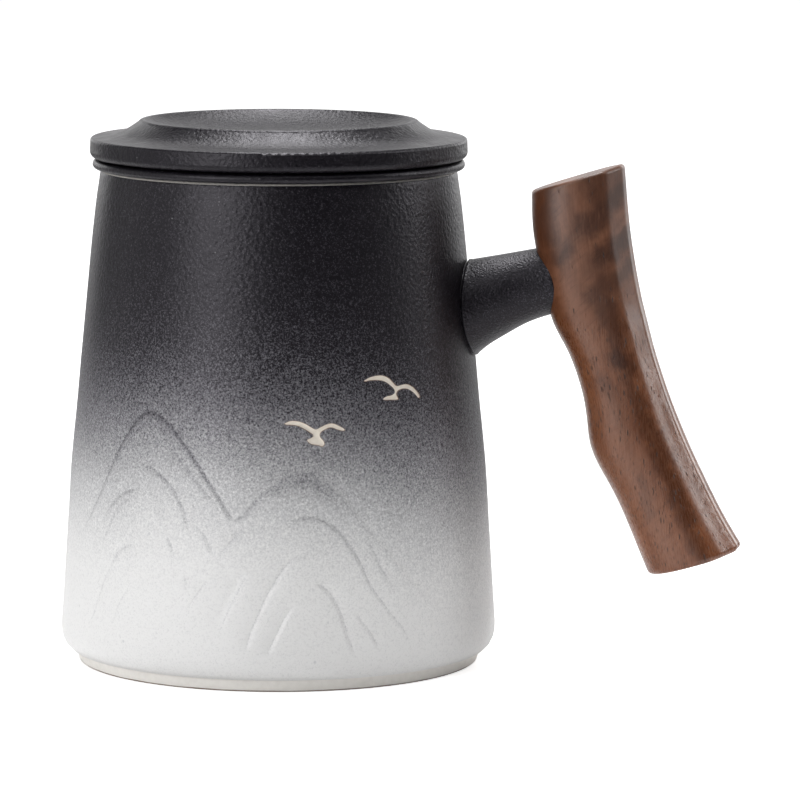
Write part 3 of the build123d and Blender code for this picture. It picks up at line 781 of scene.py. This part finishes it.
def wood(name):
    """Solid walnut, cut from a board: figure, fibre and pores all run through the thickness."""
    n = Nodes(name)
    vec = n.coord()
    xyz = n.separate(vec)
    X, Y, Z = (n.mul(xyz[k], 1000.0) for k in ("X", "Y", "Z"))
    sway = centred(n, vec, 38.0, 2.0, 0.5)
    c, t = math.cos(GRAIN_LEAN), math.sin(GRAIN_LEAN)
    across = n.add(n.add(n.mul(X, c), n.mul(Z, t)), n.mul(sway, 5.0))
    along = n.sub(n.mul(Z, c), n.mul(X, t))
    flow = n.combine(n.add(across, n.mul(along, 0.30)), Y, n.mul(along, 0.16))

    # growth rings, cut aslant, and slow changes of tone
    ring = n.noise(n.combine(n.add(n.add(across, n.mul(along, 0.36)), n.mul(Y, 0.35)), n.mul(Y, 0.3), n.mul(along, 0.10)), 0.26, 3.0, 0.55)
    slow = n.noise(n.combine(n.mul(across, 0.8), n.mul(Y, 0.5), n.mul(along, 0.45)), 0.10, 2.0, 0.5)
    base = n.colours(n.add(n.mul(ring, 0.62), n.mul(slow, 0.38)), [
        (0.30, (0.100, 0.034, 0.0150)), (0.43, (0.158, 0.061, 0.030)), (0.55, (0.205, 0.083, 0.043)), (0.70, (0.260, 0.112, 0.060))])

    # streaks of the figure and one painted highlight along the right edge, x and z in mm, blurred and frayed by noise
    fray = n.mul(centred(n, n.combine(X, Y, Z), 0.23, 3.0, 0.6), 5.0)
    fray2 = n.mul(centred(n, n.combine(n.add(X, 40.0), Y, Z), 0.27, 3.0, 0.6), 5.0)
    p = n.combine(n.add(n.add(X, fray), n.mul(n.add(Y, 9.3), 0.25)), n.add(n.add(Z, fray2), n.mul(n.add(Y, 9.3), -0.30)), 0.0)

    def vector(op, a, b=None, scale=None):
        v = n.t.nodes.new("ShaderNodeVectorMath")
        v.operation = op
        for sock, val in zip(v.inputs, (a, b)):
            if val is not None:
                n.put(sock, val)
        if scale is not None:
            n.put(v.inputs["Scale"], scale)
        return v.outputs["Value" if op in ("DOT_PRODUCT", "LENGTH", "DISTANCE") else "Vector"]

    def streak(points, core, reach, strength=1.0):
        """1 along a polyline, falling to 0 at reach mm from it."""
        total = None
        for (x0, z0), (x1, z1) in zip(points, points[1:]):
            dx, dz = x1 - x0, z1 - z0
            ll = dx * dx + dz * dz
            rel = vector("SUBTRACT", p, (x0, z0, 0.0))
            tt = n.math("DIVIDE", vector("DOT_PRODUCT", rel, (dx, dz, 0.0)), ll, clamp=True)
            foot = vector("SCALE", (dx, dz, 0.0), scale=tt)
            m = n.ramp(vector("DISTANCE", rel, foot), reach, core, 0.0, strength)
            total = m if total is None else n.math("MAXIMUM", total, m)
        return total

    def most(*masks):
        out = masks[0]
        for m in masks[1:]:
            out = n.math("MAXIMUM", out, m)
        return out

    base = n.mix(n.ramp(Z, 84.0, 58.0, 0.0, 1.0), base, n.mix(1.0, base, (1.27, 1.22, 1.16), "MULTIPLY"))
    orange = streak([(57.2, 106.0), (57.6, 97.0), (59.8, 84.0), (63.5, 74.0), (68.5, 63.0), (70.2, 54.0), (73.0, 44.0), (79.5, 32.0)], 0.6, 4.2, 0.85)
    base = n.mix(orange, base, n.mix(n.ramp(Z, 90.0, 62.0, 0.0, 1.0), (0.118, 0.037, 0.0118), (0.238, 0.090, 0.039)))
    dark = most(
        streak([(63.1, 90.8), (65.7, 95.2), (68.5, 99.2), (71.7, 100.8), (73.9, 102.6), (78.2, 104.0)], 0.3, 3.4, 0.78),
        streak([(70.0, 99.0), (72.0, 101.5)], 0.8, 4.4, 0.82),
        streak([(70.1, 89.4), (72.3, 91.6), (75.1, 92.7), (80.0, 93.6)], 0.4, 4.4, 0.82),
        streak([(69.7, 83.2), (73.4, 85.5), (78.5, 87.2)], 0.3, 4.0, 0.66),
        streak([(68.5, 112.5), (70.8, 107.3), (71.7, 102.0)], 0.8, 4.6, 0.55),
        streak([(60.7, 107.5), (60.5, 100.2), (61.5, 94.0)], 0.3, 2.5, 0.62),
        streak([(71.8, 84.0), (74.0, 78.9), (75.6, 73.4), (76.8, 69.7), (78.6, 66.0)], 0.8, 3.7, 0.72),
        streak([(76.0, 70.5), (76.8, 68.5)], 0.6, 3.6, 0.95),
        streak([(77.6, 66.0), (79.4, 61.5), (82.9, 53.7), (86.3, 45.6), (89.6, 38.4), (91.6, 33.6)], 0.7, 3.0, 0.64),
        streak([(90.5, 34.0), (92.6, 29.5), (95.0, 26.0)], 0.5, 3.0, 0.52),
        streak([(81.3, 43.4), (82.5, 37.6), (83.4, 33.6)], 0.2, 1.7, 0.60),
        streak([(73.2, 64.0), (75.6, 59.0), (77.6, 53.0)], 0.3, 2.8, 0.40),
    )
    cloud = n.ramp(n.noise(n.combine(n.mul(across, 0.8), n.mul(Y, 0.7), n.mul(along, 0.42)), 0.16, 4.0, 0.62), 0.56, 0.74, 0.0, 0.6)
    tone = n.mix(most(dark, cloud), base, (0.058, 0.0200, 0.0100))
    paler_figure_and_highlight = most(
        streak([(67.0, 95.5), (69.4, 88.0)], 0.5, 3.6, 0.40),
        streak([(63.6, 84.5), (67.5, 79.2), (70.0, 71.5)], 0.8, 3.8, 0.50),
        streak([(76.0, 98.8), (79.5, 99.4)], 0.2, 1.5, 0.55),
        streak([(76.5, 96.2), (79.8, 96.6)], 0.2, 1.2, 0.45),
        streak([(78.0, 81.0), (82.0, 80.0)], 0.2, 1.4, 0.45),
        streak([(74.2, 58.0), (78.5, 47.0), (83.5, 37.0), (87.5, 27.0)], 1.0, 5.0, 0.45),
        # painted highlight: the strip of light down the grip's right edge, put into the wood's colour as a paler streak
        streak([(80.2, 74.0), (83.6, 64.0), (88.4, 52.5), (92.8, 43.0), (98.0, 32.0)], 0.8, 3.0, 0.50),
    )
    # paler figure tone; along the right edge it is the painted highlight
    tone = n.mix(paler_figure_and_highlight, tone, (0.275, 0.122, 0.070))

    # fine fibre, faint curl across the grain, and open pores
    fibre = n.noise(n.combine(across, Y, n.mul(along, 0.055)), 3.4, 3.0, 0.6)
    tone = n.mix(n.ramp(fibre, 0.30, 0.56, 0.26, 0.0), tone, (0.5, 0.40, 0.34), "MULTIPLY")
    tone = n.mix(n.ramp(fibre, 0.52, 0.80, 0.0, 0.24), tone, (0.33, 0.150, 0.088))
    hair = n.noise(n.combine(n.mul(n.sub(X, Z), 0.707), Y, n.mul(n.add(X, Z), 0.045)), 1.5, 2.0, 0.55)
    tone = n.mix(n.ramp(hair, 0.33, 0.45, 0.30, 0.0), tone, (0.52, 0.42, 0.36), "MULTIPLY")
    curl = n.noise(n.combine(n.mul(across, 0.30), n.mul(Y, 0.3), n.add(n.mul(along, 1.0), n.mul(across, -0.55))), 0.62, 2.0, 0.5)
    tone = n.mix(n.ramp(curl, 0.38, 0.62, 0.16, 0.0), tone, (0.55, 0.42, 0.36), "MULTIPLY")

    def pores(width, length, shift):
        q = n.combine(n.add(n.mul(across, 1.0 / width), shift), n.mul(Y, 1.0 / width), n.mul(along, 1.0 / length))
        v = n.t.nodes.new("ShaderNodeTexVoronoi")
        n.link(q, v.inputs["Vector"])
        v.inputs["Scale"].default_value = 1.0
        near = n.ramp(v.outputs["Distance"], 0.26, 0.13)
        pick = n.separate(v.outputs["Color"])["X"]
        return near, pick

    rough_zone = most(
        streak([(71.5, 66.0), (75.0, 56.0), (80.0, 44.0), (85.5, 32.0), (89.0, 24.0)], 2.5, 8.0, 0.62),
        n.ramp(Z, 110.0, 40.0, 0.05, 0.26, "LINEAR"))
    near1, pick1 = pores(0.62, 3.4, 0.0)
    near2, pick2 = pores(0.40, 2.2, 17.3)
    pore = most(
        n.mul(near1, n.ramp(n.sub(rough_zone, pick1), -0.03, 0.05)),
        n.mul(near2, n.mul(n.ramp(n.sub(n.mul(rough_zone, 1.1), pick2), -0.03, 0.05), 0.8)))
    tone = n.mix(n.mul(pore, 0.86), tone, (0.020, 0.0085, 0.0060))
    r = n.add(n.ramp(fibre, 0.3, 0.7, 0.245, 0.31, "LINEAR"), n.mul(pore, 0.3))
    r = n.add(r, n.ramp(Z, 72.0, 96.0, 0.0, 0.12))
    r = n.sub(r, n.ramp(Z, 111.0, 113.0, 0.0, 0.17))
    height = n.sub(n.mul(fibre, 0.30), n.mul(pore, 1.0))
    return n.set(color=tone, rough=r, normal=n.bump(height, 0.00006), ior=1.60)


def plain_wood(name, a, b):
    n = Nodes(name)
    vec = n.coord()
    rings_ = n.noise(n.mapping(vec, (1, 1, 0.15)), 420.0, 4.0, 0.6)
    tone = n.colours(rings_, [(0.3, a), (0.7, b)])
    return n.set(color=tone, rough=0.55, normal=n.bump(rings_, 0.00003))


M_WALNUT = wood("walnut")
paint("wood_handle", M_WALNUT)
paint("handle_dowel", plain_wood("beech", (0.42, 0.28, 0.15), (0.58, 0.42, 0.26)))


def resin(name):
    n = Nodes(name)
    vec = n.coord()
    tone = n.colours(n.noise(vec, 300.0, 3.0, 0.6), [(0.3, (0.50, 0.36, 0.16)), (0.7, (0.66, 0.52, 0.30))])
    return n.set(color=tone, rough=0.35, normal=n.bump(n.noise(vec, 600.0, 2.0, 0.5), 0.00002))


paint("joint_resin", resin("cured_resin"))

# ------------------------------------------------------------------ stage
def build_stage():
    n = Nodes("pale_floor")
    vec = n.coord()
    flat = n.separate(vec)
    far = n.math("SQRT", n.add(n.mul(flat["X"], flat["X"]), n.mul(flat["Y"], flat["Y"])))
    tone = n.colours(n.noise(vec, 6.0, 3.0, 0.5), [(0.3, (0.91, 0.91, 0.91)), (0.7, (0.93, 0.93, 0.93))])
    tone = n.mix(n.ramp(far, 0.10, 0.38, 0.0, 1.0), tone, (0.36, 0.36, 0.36))
    n.set(color=tone, rough=0.9, spec=0.1)
    path = n.t.nodes.new("ShaderNodeLightPath")
    n.bsdf.inputs["Emission Color"].default_value = (1, 1, 1, 1)
    n.link(n.mul(path.outputs["Is Camera Ray"], n.ramp(far, 0.12, 0.5, 0.66, 1.0)), n.bsdf.inputs["Emission Strength"])
    s = 8.0
    fl = make_mesh("floor", [(-s, -s, 0), (s, -s, 0), (s, s, 0), (-s, s, 0)], [(0, 1, 2, 3)], (n.mat,), None, False)


build_stage()


def area(name, place, target, size, power, colour=(1, 1, 1), spread=180.0):
    """Soft box at place, facing target. place and target are (azimuth from the camera's side, elevation, distance) and a point."""
    az, el, dist = place
    a, e = math.radians(az + 6.0), math.radians(el)
    pos = Vector(target) + Vector((math.sin(a) * math.cos(e), -math.cos(a) * math.cos(e), math.sin(e))) * dist
    data = bpy.data.lights.new(name, "AREA")
    data.shape = "RECTANGLE"
    data.size, data.size_y = size
    data.energy = power
    data.color = colour
    data.spread = math.radians(spread)
    ob = bpy.data.objects.new(name, data)
    bpy.context.scene.collection.objects.link(ob)
    ob.location = pos
    ob.rotation_euler = (Vector(target) - pos).to_track_quat("-Z", "Y").to_euler()
    return ob


TARGET = (0.0, 0.0, 0.06)
for spec in (
    ("key_left", (-41, 15, 1.3), TARGET, (0.80, 0.9), 7.1),
    ("key_left_in", (-30, 15, 1.3), TARGET, (0.4, 0.9), 1.1),
    ("fill_left", (-98, 15, 1.3), TARGET, (1.2, 0.9), 2.1),
    ("edge_left", (-150, 12, 1.4), TARGET, (0.35, 0.9), 1.3),
    ("strip_right", (98, 17, 1.3), TARGET, (0.24, 0.40), 2.3),
    ("strip_right_high", (100, 36, 1.3), TARGET, (0.4, 0.6), 2.3),
    ("strip_right_mid", (124, 13, 1.3), TARGET, (0.5, 0.8), 0.9),
    ("strip_right_back", (152, 15, 1.3), TARGET, (0.45, 0.9), 1.4),
    ("back", (180, 12, 2.2), TARGET, (3.2, 1.2), 14.2),
    ("top", (10, 80, 1.3), TARGET, (1.4, 1.4), 6.1),
    ("top_back_high", (180, 77, 1.2), TARGET, (0.5, 0.30), 7.4),
    ("top_back_mid", (180, 64, 1.2), TARGET, (0.46, 0.30), 1.9),
    ("top_back", (180, 48, 1.2), TARGET, (0.5, 0.30), 1.7),
):
    area(*spec).visible_camera = False

world = bpy.data.worlds.new("studio")
bpy.context.scene.world = world
world.use_nodes = True
wt = world.node_tree
bg = next(n for n in wt.nodes if n.type == "BACKGROUND")
bg.inputs["Color"].default_value = (1, 1, 1, 1)
seen = wt.nodes.new("ShaderNodeLightPath")
wt.links.new(seen.outputs["Is Camera Ray"], bg.inputs["Strength"])
vs_ = bpy.context.scene.view_settings
vs_.view_transform = "Standard"
vs_.look = "None"
vs_.exposure = 0.0
vs_.gamma = 1.0
